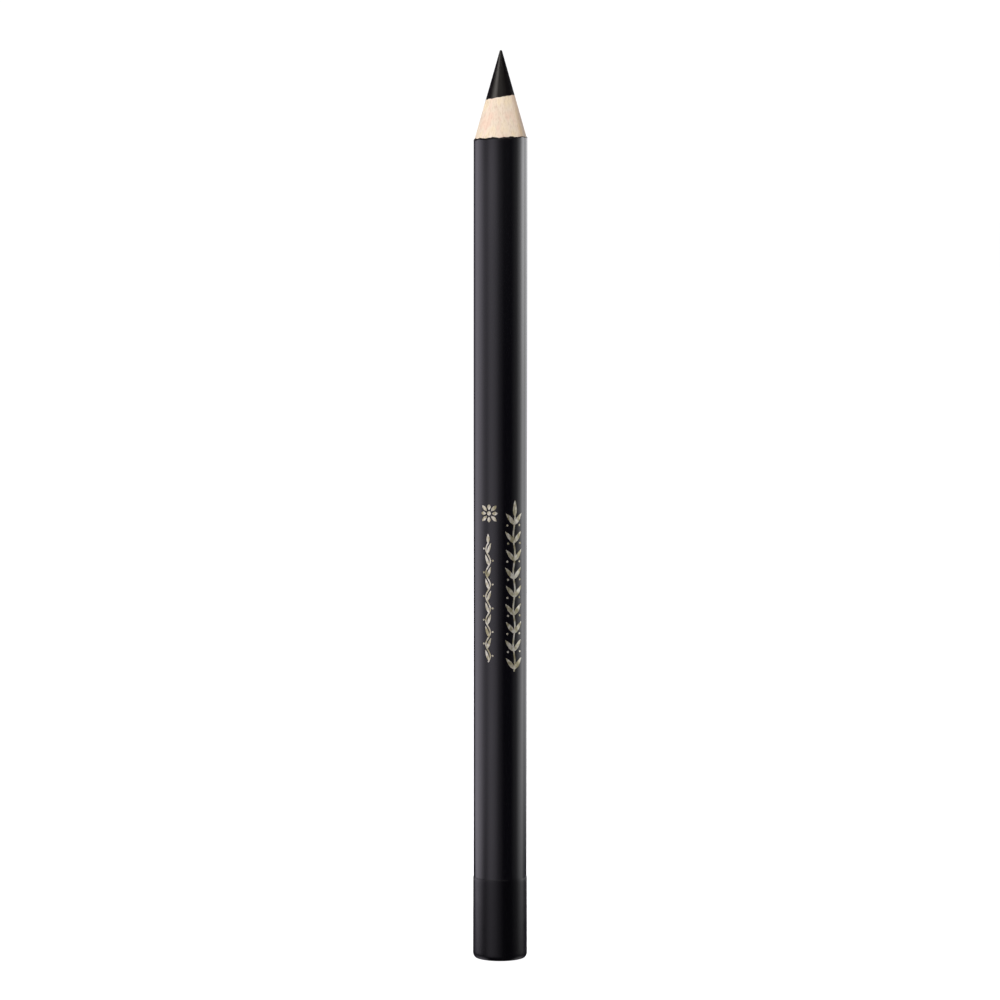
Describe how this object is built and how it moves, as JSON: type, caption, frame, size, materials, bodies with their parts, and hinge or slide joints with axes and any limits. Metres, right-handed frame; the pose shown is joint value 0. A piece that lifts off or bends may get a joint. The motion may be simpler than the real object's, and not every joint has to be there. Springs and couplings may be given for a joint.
{
  "type": "eyeliner pencil",
  "caption": "Round wooden eyeliner pencil with a black core, sharpened to a point at the top and dipped at the bottom end.",
  "frame": {"origin": "lowest point of the dipped end, on the middle line of the barrel", "axes": "+Z along the barrel to the sharpened point, +X to the right as the picture shows it, -Y towards the viewer; the glue plane of the two casing halves is the XZ plane"},
  "size_m": [0.008, 0.008, 0.1329],
  "materials": {
    "core_wax": "matt waxy black",
    "casing_wood": "bare, freshly cut, pale cream",
    "black_lacquer": "satin gloss black lacquer",
    "dip_paint": "deeper black dipped coat, satin gloss"
  },
  "bodies": {
    "root": {"core": "core_wax", "casing_front": "casing_wood", "casing_back": "casing_wood", "lacquer_coat": "black_lacquer", "end_dip": "dip_paint"}
  },
  "joints": []
}
